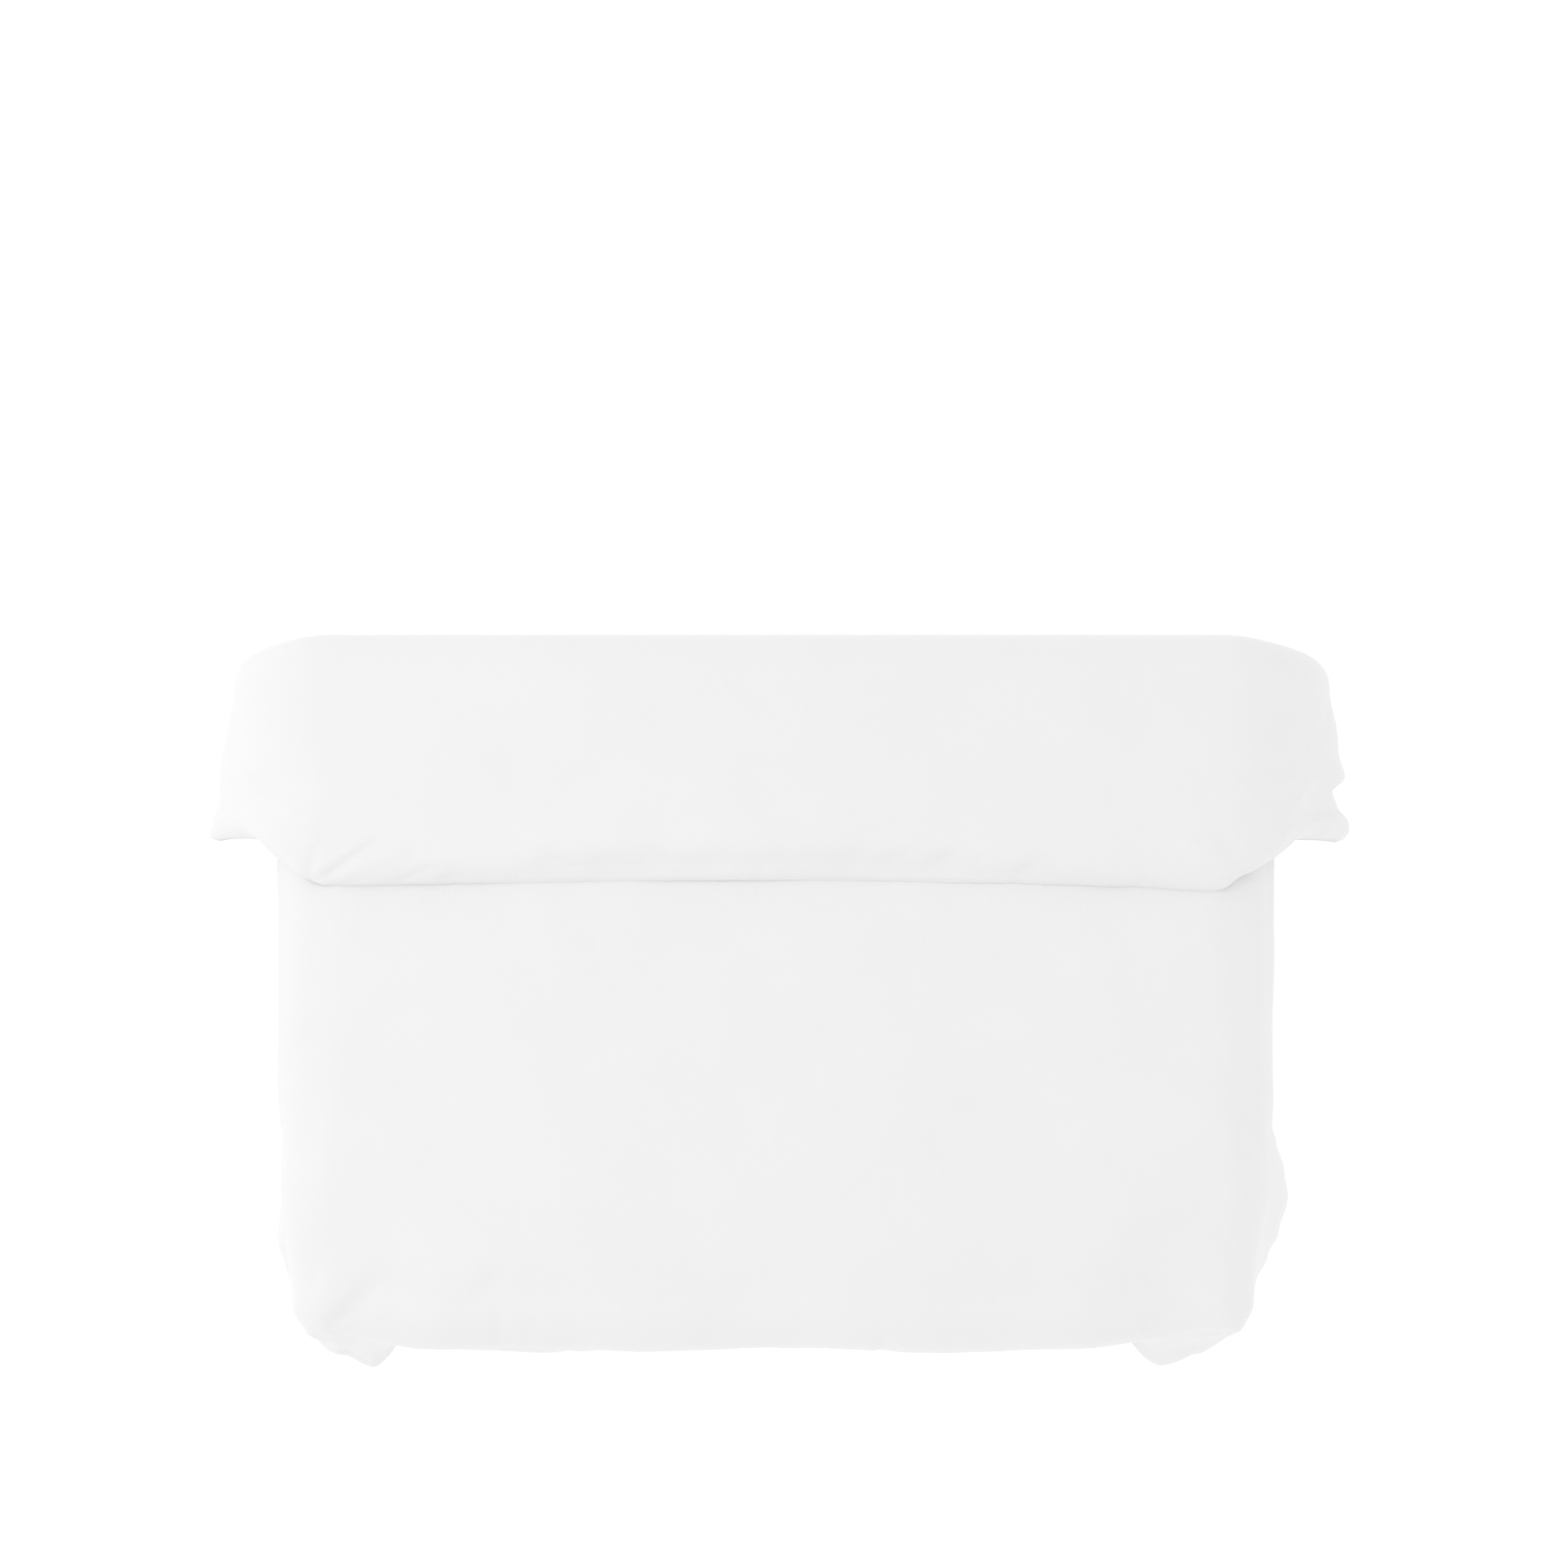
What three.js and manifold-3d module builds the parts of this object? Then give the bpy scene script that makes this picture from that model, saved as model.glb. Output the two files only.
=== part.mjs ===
// A double-bed duvet lying on its mattress with the head end turned down, in millimetres, +Z up.
// +Y points to the head of the bed and z = 0 is the plane of the mattress top.
// The duvet is drawn flat first: u across, v from the head hem to the foot hem, n through the thickness
// from the underside (0) to the top face. drape() lays a flat point over the mattress.
import * as THREE from 'three';
import Module from 'manifold-3d';
import { mergeVertices } from 'three/addons/utils/BufferGeometryUtils.js';

// the duvet and the bed it lies on
const width = 2200;
const length = 2000;
const loft = 52;
const mattressWidth = 1600;
const mattressClearance = 3;
const edgeRadius = 35; // underside, where it turns over the mattress edge
const footTurn = 532; // from the origin to where the foot end starts to turn down

// the turned-down cuff
const cuffLength = 373;
const cuffGap = 8; // between the cuff and the duvet under it
const foldLine = 563; // from the origin to the fold's centre line
const cuffFallAngle = 65; // slope of the cuff's side fall at its hem, in degrees
const foldReach = 250; // the length on each side of the fold over which the falls settle
const foldDrop = 33; // how far the cuff's falls sink towards the foot beside the fold
const hemRise = 60; // how far the cuff's lower corners lean towards the head
const leanRun = 160; // the length round the edge over which both grow

// layers
const coverCloth = 1.2;
const shellCloth = 1;
const layerGap = 0.6;
const fillGap = 3; // between the shell and the fill, which is faceted
const hemHalf = 2.4; // half the cover's thickness at its seam
const shellInset = 18; // the insert is this much smaller than the cover on each side
const shellHemHalf = 2;
const edgeRounding = 90; // width of the rounded edge inside the seam
const fillInset = 40; // the fill stops this far from the cover's edge
const meet = 0.3; // between pieces that touch
const foldMeet = 2; // between the layers of the fold and those beside it

// fill
const columns = 7;
const bodyRows = 2;
const stitchGap = 4;
const crown = 60; // the width over which a pocket swells from its stitches
const stitchShare = 0.62; // a pocket's thickness at its stitches, as a share of the full one

// closure and small parts
const zipLength = 1000;
const tapeWidth = 14;
const tapeCloth = 0.6;
const chainHeight = 4;
const chainHalf = 2;
const stopHalf = 2.2;
const stopLength = 4;
const sliderLength = 12;
const sliderWall = 1.2;
const sliderPlay = 0.5;
const lugLength = 4.4;
const lugDrop = 4.5;
const lugLap = 0.05; // how far a lug runs into the slider's plate
const flangeTrim = 0.4; // off each end of the slider's flanges
const pinBelowMid = 0.3;
const pinLap = 0.5; // how far the pin runs into each lug
const pinRadius = 1;
const pullLength = 26;
const pullWidth = 7;
const pullThick = 1.6;
const pullShoulder = 7; // from the pin down to the pull's full width
const pullAbovePin = 3;
const eyeRadius = 2.1;
const eyePlay = 0.3;
const tieWidth = 9;
const tieCloth = 0.8;
const tieFromHem = 22;
const tieSeam = 1; // from the cover's edge to where the tie starts
const tieEnd = 2; // from the tie's end to the insert's edge
const loopGap = 1; // between a tie and its loop
const loopOutside = 6; // how far a loop stands out from the insert
const loopInside = 8;
const labelWidth = 22;
const labelLength = 32;
const labelV = 1450;
const labelSewn = 8; // held between the covers at the seam
const labelHalf = 0.3;

const flatHalf = mattressWidth / 2 + mattressClearance - edgeRadius;
const foldHeight = loft + cuffGap / 2;
const foldRun = Math.PI * (foldHeight - loft / 2);
const foldEnd = cuffLength + foldRun;
const footV = foldEnd + foldLine + footTurn;
const halfWidth = width / 2;
const rad = THREE.MathUtils.degToRad;
const smooth = (x) => THREE.MathUtils.smoothstep(x, 0, 1);

// height above the mattress and place along the bed of a flat point, before it turns over an edge
function lengthwise(v, n) {
  if (v <= cuffLength) {
    const y = foldLine - (cuffLength - v);
    return { y, height: 2 * foldHeight - n };
  }
  if (v >= foldEnd) {
    return { y: foldLine - (v - foldEnd), height: n };
  }
  const turn = (v - cuffLength) / (foldHeight - loft / 2);
  const radius = foldHeight - n;
  return { y: foldLine + radius * Math.sin(turn), height: foldHeight + radius * Math.cos(turn) };
}

// how far from the fold a point is: -1 well into the cuff, 0 in the fold, 1 well into the body
function awayFromFold(v) {
  return smooth((v - foldEnd) / foldReach) - smooth((cuffLength - v) / foldReach);
}

// radius on which the cloth turns over the mattress edge
function turnRadiusAt(v) {
  return edgeRadius + foldHeight - (foldHeight - loft / 2) * awayFromFold(v);
}

// steepest slope of the side fall
function fallAngle(v) {
  return rad(THREE.MathUtils.lerp(90, cuffFallAngle, Math.max(0, 1 - v / cuffLength)));
}

// how far the side fall leans along the bed
function lean(v, out) {
  const drop = -foldDrop * (1 - Math.max(0, awayFromFold(v)));
  const rise = (hemRise + foldDrop) * Math.max(0, 1 - v / cuffLength);
  return smooth(out / leanRun) * (drop + rise);
}

// where a flat point lies on the bed
function drape(u, v, n) {
  const side = Math.max(0, Math.abs(u) - flatHalf);
  const foot = Math.max(0, v - footV);
  const out = Math.hypot(side, foot);
  const { y, height } = lengthwise(Math.min(v, footV), n);
  if (out === 0) {
    return new THREE.Vector3(u, y, height);
  }
  const turnRadius = turnRadiusAt(v);
  const steepest = foot > 0 ? Math.PI / 2 : fallAngle(v);
  const turn = Math.min(out / turnRadius, steepest);
  const fall = out - turn * turnRadius;
  const reach = (edgeRadius + height) * Math.sin(turn) + fall * Math.cos(turn);
  const z = (edgeRadius + height) * Math.cos(turn) - edgeRadius - fall * Math.sin(turn);
  const x = Math.sign(u) * (Math.min(Math.abs(u), flatHalf) + (reach * side) / out);
  return new THREE.Vector3(x, y - (reach * foot) / out + lean(v, side), z);
}

// half the thickness at a distance from the edge, round like a pillow's
function roundHalf(fromEdge, full, atEdge) {
  const short = Math.max(0, 1 - fromEdge / edgeRounding);
  return atEdge + (full - atEdge) * Math.sqrt(1 - short * short);
}

function fromEdge(u, v) {
  return Math.min(halfWidth - Math.abs(u), v, length - v);
}

// outer half thickness of the cover and of the insert's shell
function coverHalf(u, v) {
  return roundHalf(fromEdge(u, v), loft / 2, hemHalf);
}

function shellHalf(u, v) {
  const full = loft / 2 - coverCloth - layerGap;
  return roundHalf(fromEdge(u, v) - shellInset, full, shellHemHalf);
}

// a slab between two faces, given on a grid of flat points and laid over the bed
function slab(us, vs, low, high) {
  const geometry = new THREE.BoxGeometry(1, 1, 1, us.length - 1, vs.length - 1, 1);
  const place = geometry.attributes.position;
  for (let k = 0; k < place.count; k += 1) {
    const u = us[Math.round((place.getX(k) + 0.5) * (us.length - 1))];
    const v = vs[Math.round((0.5 - place.getY(k)) * (vs.length - 1))];
    const face = place.getZ(k) > 0 ? high : low;
    const point = drape(u, v, loft / 2 + face(u, v));
    place.setXYZ(k, point.x, point.y, point.z);
  }
  matchDiagonals(geometry);
  geometry.computeVertexNormals();
  return geometry;
}

// both faces of a slab get the same diagonals, so that thin layers stay parallel
function matchDiagonals(geometry) {
  const { start, count } = geometry.groups[5];
  const index = geometry.index;
  for (let k = start; k < start + count; k += 6) {
    const [a, b, d, c] = [0, 1, 2, 4].map((step) => index.getX(k + step));
    [a, b, c, a, c, d].forEach((corner, step) => index.setX(k + step, corner));
  }
}

const part = new THREE.Group();

function add(name, geometry, color, roughness = 0.9, metalness = 0) {
  const mesh = new THREE.Mesh(geometry, new THREE.MeshStandardMaterial({ color, roughness, metalness }));
  mesh.name = name;
  part.add(mesh);
  return mesh;
}

// the grid: lines where the cloth bends, mirrored about the middle
const turnSteps = 3;
const foldSteps = 5;
const leastCell = 8;
const cuffMid = 230; // a line across the middle of the cuff
const fallSteps = 3; // from the foot's turn to its rounded hem
const bodyTurn = (edgeRadius + loft / 2) * (Math.PI / 2);
const cuffTurn = (edgeRadius + 2 * foldHeight - loft / 2) * rad(cuffFallAngle);

// lines that always stand, and bend lines wherever they leave a cell wide enough
function gridLines(standing, bends) {
  const [low, high] = [Math.min(...standing), Math.max(...standing)];
  const apart = (x) => standing.every((line) => Math.abs(line - x) > leastCell);
  return [...standing, ...bends.filter((x) => x > low && x < high && apart(x))].sort((a, b) => a - b);
}

function acrossLines(inset) {
  const standing = [flatHalf, ...[edgeRounding, fillInset, shellInset, 0].map((x) => halfWidth - x)];
  const bends = [flatHalf + (bodyTurn + cuffTurn) / 2, flatHalf + cuffTurn, ...turnLines(flatHalf)];
  const kept = gridLines(standing, bends).filter((u) => u <= halfWidth - inset);
  return [...kept.map((u) => -u).reverse(), ...kept];
}

function turnLines(start) {
  return Array.from({ length: turnSteps }, (_, k) => start + (bodyTurn * (k + 1)) / turnSteps);
}

function alongBody(inset) {
  const ends = [edgeRounding, fillInset, shellInset, 0].map((x) => length - x);
  const turned = footV + bodyTurn;
  const step = (length - edgeRounding - turned) / fallSteps;
  const bends = [...turnLines(footV), turned + step, turned + 2 * step];
  const standing = [foldEnd + foldMeet / 2, foldEnd + foldReach, footV, ...ends];
  return gridLines(standing, bends).filter((v) => v <= length - inset);
}

function alongCuff(inset) {
  const lines = [0, shellInset, fillInset, edgeRounding, cuffMid, cuffLength - foldMeet / 2];
  return lines.filter((v) => v >= inset);
}

function alongFold(gap) {
  const step = (foldRun - 2 * gap) / foldSteps;
  return Array.from({ length: foldSteps + 1 }, (_, k) => cuffLength + gap + step * k);
}

// cover and insert shell: a top and an under layer each, in a body, a fold and a cuff piece
const regions = {
  panel: (inset) => [acrossLines(inset), alongBody(inset)],
  fold: (inset) => [acrossLines(inset), alongFold(foldMeet / 2)],
  cuff: (inset) => [acrossLines(inset), alongCuff(inset)],
};

function addLayer(name, inset, half, cloth, color) {
  for (const [region, grid] of Object.entries(regions)) {
    const [us, vs] = grid(inset);
    const top = slab(us, vs, (u, v) => half(u, v) - cloth, half);
    const under = slab(us, vs, (u, v) => -half(u, v), (u, v) => cloth - half(u, v));
    add(`${name}_top_${region}`, top, color);
    add(`${name}_under_${region}`, under, color);
  }
}

addLayer('cover', 0, coverHalf, coverCloth, 0xf4f4f4);
addLayer('insert', shellInset, shellHalf, shellCloth, 0xeeeeec);

// fill pockets, one between each pair of stitch lines
const fillHalf = loft / 2 - coverCloth - layerGap - shellCloth - fillGap;
const columnNames = [
  'side_left',
  'outer_left',
  'inner_left',
  'middle',
  'inner_right',
  'outer_right',
  'side_right',
];
const rowNames = ['head', 'mid'];

// a pocket's lines: its own edges, and between them the shell's lines, or on the flat its swollen part's
function pocketLines(from, to, bends) {
  const inner = bends.filter((x) => x > from + leastCell && x < to - leastCell);
  return [from, ...(inner.length ? inner : [from + crown, to - crown]), to];
}

function addPocket(name, uRange, vRange, alongLines) {
  const us = pocketLines(...uRange, acrossLines(shellInset));
  const vs = pocketLines(...vRange, alongLines);
  const swell = (x, line) => smooth(Math.min(x - line[0], line.at(-1) - x) / crown);
  const half = (u, v) => {
    const full = Math.min(fillHalf, shellHalf(u, v) - shellCloth - fillGap);
    return full * (stitchShare + (1 - stitchShare) * Math.min(swell(u, us), swell(v, vs)));
  };
  add(name, slab(us, vs, (u, v) => -half(u, v), half), 0xffffff);
}

// the outer stitch lines lie where the sides turn down, and the others share out the flat between them
function stitchLine(k) {
  return flatHalf * ((2 * (k - 1)) / (columns - 2) - 1);
}

for (let column = 0; column < columns; column += 1) {
  const [low, high] = [stitchLine(column), stitchLine(column + 1)];
  const uRange = [low + (low < 0 ? stitchGap : 0), high - (high > 0 ? stitchGap : 0)];
  uRange[0] = column === 0 ? fillInset - halfWidth : uRange[0];
  uRange[1] = column === columns - 1 ? halfWidth - fillInset : uRange[1];
  const rowLength = (footV - foldEnd) / bodyRows;
  for (let row = 0; row < bodyRows; row += 1) {
    const rowStart = foldEnd + row * rowLength + foldMeet / 2;
    const name = `fill_${columnNames[column]}_${rowNames[row]}`;
    addPocket(name, uRange, [rowStart, rowStart + rowLength - stitchGap], alongBody(shellInset));
  }
  const footRange = [footV, length - fillInset];
  addPocket(`fill_${columnNames[column]}_foot`, uRange, footRange, alongBody(shellInset));
  const cuffRange = [fillInset, cuffLength - foldMeet / 2];
  addPocket(`fill_${columnNames[column]}_cuff`, uRange, cuffRange, alongCuff(shellInset));
}

const foldFillHalf = fillHalf * stitchShare;
const foldLines = acrossLines(fillInset);
add('fill_fold', slab(foldLines, alongFold(stitchGap), () => -foldFillHalf, () => foldFillHalf), 0xffffff);

// the zip in the foot hem: a tape and half a chain on each side, a stop at each end
const zipTop = length - tapeWidth;
const zipSides = { top: 1, under: -1 };
for (const [side, sign] of Object.entries(zipSides)) {
  const near = (sign * meet) / 2;
  const strip = (us, vs, thick) => {
    const far = near + sign * thick;
    return slab(us, vs, () => Math.min(near, far), () => Math.max(near, far));
  };
  const half = zipLength / 2;
  add(`zip_tape_${side}`, strip([-half, half], [zipTop, length - meet], tapeCloth), 0xf0f0f0);
  add(`zip_chain_${side}`, strip([-half, half], [length, length + chainHeight], chainHalf), 0xe6e6e6, 0.5);
}
const zipEnds = { left: -1, right: 1 };
for (const [end, sign] of Object.entries(zipEnds)) {
  const near = sign * (zipLength / 2 + meet);
  const us = [near, near + sign * stopLength].sort((a, b) => a - b);
  const stop = slab(us, [length, length + chainHeight], () => -stopHalf, () => stopHalf);
  add(`zip_stop_${end}`, stop, 0xd8d8d8, 0.4, 0.6);
}

const wasm = await Module();
wasm.setup();

function solid(geometry) {
  const bare = geometry.clone();
  bare.deleteAttribute('normal');
  bare.deleteAttribute('uv');
  const merged = mergeVertices(bare);
  const vertProperties = new Float32Array(merged.attributes.position.array);
  const triVerts = new Uint32Array(merged.index.array);
  return new wasm.Manifold(new wasm.Mesh({ numProp: 3, vertProperties, triVerts }));
}

function geometryOf(body) {
  const mesh = body.getMesh();
  const geometry = new THREE.BufferGeometry();
  geometry.setAttribute('position', new THREE.BufferAttribute(mesh.vertProperties, 3));
  geometry.setIndex(new THREE.BufferAttribute(mesh.triVerts, 1));
  geometry.computeVertexNormals();
  return geometry;
}

function block(x, y, z, at) {
  return solid(new THREE.BoxGeometry(x, y, z).translate(at.x, at.y, at.z));
}

// the slider wraps the chain from below; its pull hangs on a pin between two lugs
const hemPoint = drape(0, length + chainHeight, loft / 2);
const sliderInner = chainHalf + meet / 2 + sliderPlay;
const plateTop = -sliderPlay;
const plate = plateTop - sliderWall;
const pinDepth = plate - lugDrop / 2 - pinBelowMid;
const lugInner = pullThick / 2 + sliderPlay;

function sliderSolid() {
  const outer = sliderInner + sliderWall;
  let body = block(sliderLength, 2 * outer, sliderWall, new THREE.Vector3(0, 0, plateTop - sliderWall / 2));
  for (const sign of [-1, 1]) {
    const flangeMid = (chainHeight + plate) / 2 - flangeTrim;
    const flange = new THREE.Vector3(0, sign * (sliderInner + sliderWall / 2), flangeMid);
    body = body.add(block(sliderLength, sliderWall, chainHeight - plate - 2 * flangeTrim, flange));
    const lug = new THREE.Vector3(0, sign * (lugInner + sliderWall / 2), plate - lugDrop / 2 + lugLap);
    body = body.add(block(lugLength, sliderWall, lugDrop + 2 * lugLap, lug));
  }
  const pin = new THREE.CylinderGeometry(pinRadius, pinRadius, 2 * (lugInner + pinLap), 12);
  return body.add(solid(pin.translate(0, 0, pinDepth)));
}

function pullShape() {
  const outline = new THREE.Shape();
  const endMid = pullAbovePin - pullLength + pullWidth / 2;
  outline.absarc(0, 0, eyeRadius, Math.PI * 0.1, Math.PI * 0.9, false);
  outline.lineTo(-pullWidth / 2, -pullShoulder);
  outline.absarc(0, endMid, pullWidth / 2, Math.PI, 2 * Math.PI, false);
  outline.lineTo(pullWidth / 2, -pullShoulder);
  outline.closePath();
  const hole = new THREE.Path();
  hole.absarc(0, 0, pinRadius + eyePlay, 0, 2 * Math.PI, true);
  outline.holes.push(hole);
  const options = { depth: pullThick, bevelEnabled: false, curveSegments: 8 };
  const shape = new THREE.ExtrudeGeometry(outline, options);
  return shape.translate(0, 0, -pullThick / 2).rotateX(Math.PI / 2);
}

const sliderAt = (sliderLength - zipLength) / 2 + meet;
const slider = add('zip_slider', geometryOf(sliderSolid()), 0xcfcfcf, 0.35, 0.7);
slider.position.set(sliderAt, hemPoint.y, hemPoint.z);
const pull = add('zip_pull', pullShape(), 0xcfcfcf, 0.35, 0.7);
pull.position.set(sliderAt, hemPoint.y, hemPoint.z + pinDepth);

// in each corner a tie on the cover knots through a loop on the insert
const corners = { head_left: [-1, 0], head_right: [1, 0], foot_left: [-1, 1], foot_right: [1, 1] };
for (const [corner, [sign, foot]] of Object.entries(corners)) {
  const across = (from, to) => [sign * (halfWidth - from), sign * (halfWidth - to)].sort((a, b) => a - b);
  const along = (from) => (foot ? [length - from - tieWidth, length - from] : [from, from + tieWidth]);
  const thin = [() => -tieCloth / 2, () => tieCloth / 2];
  const tie = slab(across(tieSeam, shellInset - tieEnd), along(tieFromHem), ...thin);
  add(`corner_tie_${corner}`, tie, 0xf2f2f2);
  const loopAcross = across(shellInset - loopOutside, shellInset + loopInside);
  const loop = slab(loopAcross, along(tieFromHem + tieWidth + loopGap), ...thin);
  add(`corner_loop_${corner}`, loop, 0xf2f2f2);
}

// a blank care label in the side seam
const labelAcross = [halfWidth - labelSewn, halfWidth + labelLength];
const labelAlong = [labelV, labelV + labelWidth];
add('care_label', slab(labelAcross, labelAlong, () => -labelHalf, () => labelHalf), 0xffffff);

export default part;
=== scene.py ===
import math

import bmesh
import bpy
import numpy as np
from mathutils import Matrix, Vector


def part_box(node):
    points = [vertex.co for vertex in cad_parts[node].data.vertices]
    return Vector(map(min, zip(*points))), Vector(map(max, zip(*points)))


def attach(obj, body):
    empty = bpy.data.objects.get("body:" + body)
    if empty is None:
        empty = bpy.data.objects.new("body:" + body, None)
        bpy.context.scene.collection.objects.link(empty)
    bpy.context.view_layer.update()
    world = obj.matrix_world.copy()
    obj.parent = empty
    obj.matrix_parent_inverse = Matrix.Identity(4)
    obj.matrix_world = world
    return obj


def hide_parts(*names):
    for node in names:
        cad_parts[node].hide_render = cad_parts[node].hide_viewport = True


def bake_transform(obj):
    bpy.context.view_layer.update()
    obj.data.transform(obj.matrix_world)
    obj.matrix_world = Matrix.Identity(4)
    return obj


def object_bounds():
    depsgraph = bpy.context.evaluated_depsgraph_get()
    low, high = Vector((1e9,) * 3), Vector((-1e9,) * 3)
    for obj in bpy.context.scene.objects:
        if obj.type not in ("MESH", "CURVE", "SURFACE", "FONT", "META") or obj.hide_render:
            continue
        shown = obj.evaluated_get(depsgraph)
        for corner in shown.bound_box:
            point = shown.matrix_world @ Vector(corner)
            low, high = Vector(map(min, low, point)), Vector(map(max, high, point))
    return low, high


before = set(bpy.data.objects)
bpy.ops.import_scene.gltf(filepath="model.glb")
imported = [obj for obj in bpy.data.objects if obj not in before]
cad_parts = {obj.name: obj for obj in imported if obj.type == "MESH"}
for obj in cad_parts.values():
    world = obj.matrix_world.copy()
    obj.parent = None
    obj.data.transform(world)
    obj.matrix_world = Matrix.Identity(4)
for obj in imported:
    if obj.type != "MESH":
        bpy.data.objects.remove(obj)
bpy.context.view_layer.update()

scene = bpy.context.scene

# metres; the cut is flat: u across, v from the head hem to the foot hem, n up through the thickness
cut = {
    "width": 2.2,
    "length": 2.0,
    "loft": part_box("cover_top_panel")[1].z,
    "cuff": 0.373,
    "gap": 0.008,  # under the cuff
    "shellInset": 0.018,  # the insert is smaller than its cover by this on each side
    "hemHalf": 0.00123,
    "zipHalf": 0.0024,
    "rounding": 0.09,  # width of the rounded edge inside the hem
    "zipFrom": (1.90, 0.05),  # v where the hem starts to thicken for the zip, and the run of that
    "zipReach": (0.56, 0.04),  # u where it ends, and the run before it
}
bed = {
    "edgeRadius": 0.035,
    "flatHalf": 0.768,  # half the flat top, before the sides turn down
    "footTurn": 0.532,  # how far towards the foot the flat top reaches
    "foldLine": 0.563,
    "foldReach": 0.25,  # run over which the sides follow the fold's height
    "foldDrop": 0.033,
    "hemRise": 0.074,  # how far the hanging end of the cuff's hem leans back
    "leanRun": 0.20,
    "cuffFallAngle": 64.0,
}
middle = cut["loft"] / 2
halfWidth = cut["width"] / 2
foldHeight = cut["loft"] + cut["gap"] / 2
foldRun = math.pi * (foldHeight - middle)
foldEnd = cut["cuff"] + foldRun
footV = foldEnd + bed["foldLine"] + bed["footTurn"]
cornerRun = (bed["edgeRadius"] + cut["loft"]) * math.pi / 2  # round a foot corner, outside

# how far the hanging cloth stands out from straight down, along its edge; minus is a hollow.
# on the body, from the start of the foot corner: the side before it, then round it and along the foot
bodyFolds = {
    -1: [(-1.13, 0.0), (-0.712, 0.003), (-0.402, 0.003), (-0.275, -0.012), (-0.191, 0.003), (-0.097, 0.018),
         (-0.045, 0.003), (-0.003, -0.012), (0.05, -0.020), (0.09, -0.019), (0.146, 0.014), (0.199, 0.037),
         (0.240, -0.012), (0.32, -0.003), (0.48, 0.010), (0.60, 0.002), (0.90, 0.001)],
    1: [(-1.13, 0.0), (-0.692, -0.001), (-0.609, -0.001), (-0.462, -0.012), (-0.367, -0.022),
        (-0.308, -0.020), (-0.275, 0.010), (-0.212, 0.030), (-0.170, 0.038), (-0.108, 0.024),
        (-0.066, 0.005), (-0.024, -0.016), (0.030, -0.038), (0.110, -0.030), (0.170, 0.014),
        (0.232, 0.039), (0.295, -0.022), (0.45, -0.010), (0.60, -0.002), (0.90, 0.001)],
}
cuffFolds = {  # from the cuff's hem, over the fold and away down the body
    -1: [(0.0, 0.046), (0.05, 0.034), (0.09, 0.032), (0.18, 0.040), (0.27, 0.034), (0.37, 0.028),
         (0.467, 0.028), (0.60, 0.0)],
    1: [(0.0, 0.046), (0.05, 0.052), (0.09, 0.040), (0.125, 0.038), (0.165, 0.060), (0.22, 0.050),
        (0.27, 0.052), (0.37, 0.046), (0.467, 0.044), (0.60, 0.0)],
}
# the hanging corner spreads into a cone: how far the cloth slides along the edge, from the corner's start
cornerSpread = [(-1.2, 0.0), (-0.22, 0.0), (-0.02, -0.035), (0.080, 0.055), (0.137, 0.085), (0.22, 0.050),
                (0.335, 0.0), (1.0, 0.0)]
# slow waves of the cuff's hem, over u
cuffHem = [(-1.2, 0.0), (-0.77, 0.0), (-0.45, 0.002), (-0.10, 0.006), (0.10, 0.006), (0.35, 0.002),
           (0.60, -0.003), (0.745, -0.010), (0.805, 0.006), (0.90, 0.0), (1.2, 0.0)]

# where each move of the cloth sets in or ends, and the run over which it does
drape = {
    "body": (0.12, 0.20),  # past the fold
    "slide": (0.05, 0.20),  # out from the flat top
    "bodyFolds": (0.06, 0.17),
    "cuffFolds": (0.05, 0.13),
    "cuffFoldsHem": (0.06, 0.05),  # added to the last at the cuff's hem
    "zipHem": (1.80, 0.15),  # v and u where the zipped hem hangs straight
    "zipHemSide": (0.62, 0.10),
    "hemWave": 0.18,
    "sink": (0.32, 0.20),  # v up to which the cuff's edge sinks
    "sinkAll": 0.006,
    "sinkThinned": 0.93,  # share of what the rounded edge has lost
    "seenTop": (0.02, 0.10),
    "seenUnder": (0.12, 0.10),
    "seamRelief": 0.01,
}

# creases: ends in flat places (u, v), width, depth
creases = [
    ((-0.795, 0.008), (-0.677, 0.086), 0.0085, 0.0120), ((-0.790, 0.000), (-0.690, 0.022), 0.0085, 0.0060),
    ((-0.800, 0.014), (-0.765, 0.105), 0.009, 0.0060), ((-0.668, 0.000), (-0.575, 0.042), 0.009, 0.0060),
    ((-0.560, 0.000), (-0.520, 0.030), 0.008, 0.0028), ((-0.835, 0.030), (-0.905, 0.060), 0.013, 0.006),
    ((0.795, 0.000), (0.700, 0.050), 0.011, 0.0060), ((0.800, 0.012), (0.745, 0.120), 0.012, 0.0050),
    ((0.835, 0.010), (0.910, 0.060), 0.013, 0.0075), ((0.650, 0.000), (0.610, 0.040), 0.009, 0.0030),
    ((0.200, 0.000), (0.230, 0.035), 0.010, 0.0022), ((-0.150, 0.000), (-0.190, 0.040), 0.011, 0.0020),
    ((-0.476, 1.585), (-0.462, 1.700), 0.010, 0.0060), ((-0.423, 1.590), (-0.430, 1.680), 0.009, 0.0050),
    ((-0.775, 1.600), (-0.705, 1.570), 0.014, 0.0060), ((-0.800, 1.640), (-0.690, 1.640), 0.016, 0.0075),
    ((0.640, 1.605), (0.705, 1.585), 0.018, 0.0060), ((0.800, 1.640), (0.690, 1.640), 0.016, 0.0075),
    ((0.180, 1.610), (0.190, 1.700), 0.010, 0.0035), ((-0.060, 1.615), (-0.050, 1.680), 0.009, 0.0025),
    ((-0.800, 1.100), (-0.840, 1.180), 0.016, 0.0040), ((0.800, 1.260), (0.860, 1.330), 0.018, 0.0055),
]
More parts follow.
